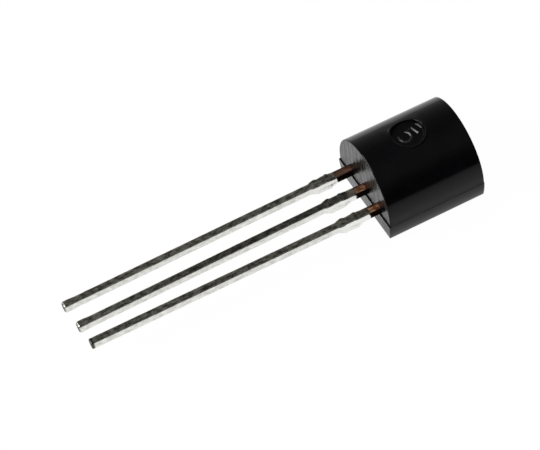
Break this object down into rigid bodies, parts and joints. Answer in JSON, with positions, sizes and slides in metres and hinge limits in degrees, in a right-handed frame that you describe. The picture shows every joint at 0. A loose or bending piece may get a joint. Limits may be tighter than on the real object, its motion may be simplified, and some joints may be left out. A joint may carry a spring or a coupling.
{
  "type": "transistor",
  "caption": "Small-signal transistor: black D-shaped moulded body with a flat side and a round back, and straight tinned leads in one row.",
  "frame": {"origin": "on the flat, which the part lies on, below the middle of the round half", "axes": "+X across the leads, from the centre lead towards lead 1; +Y along the body, away from the leads; +Z from the flat to the crown of the round back"},
  "size_m": [0.0046, 0.0185, 0.0034],
  "materials": {
    "moulding_resin": "black epoxy moulding compound, polished on the round back, satin on the ends",
    "tinned_copper": "hot-tinned copper strip, bare copper for the first half millimetre from the body",
    "silicon": "polished silicon chip",
    "gold_wire": "drawn gold bond wire"
  },
  "bodies": {
    "root": {"moulded_body": "moulding_resin", "centre_lead": "tinned_copper", "outer_lead_1": "tinned_copper", "outer_lead_3": "tinned_copper", "chip": "silicon", "bond_wire_1": "gold_wire", "bond_wire_3": "gold_wire"}
  },
  "joints": []
}
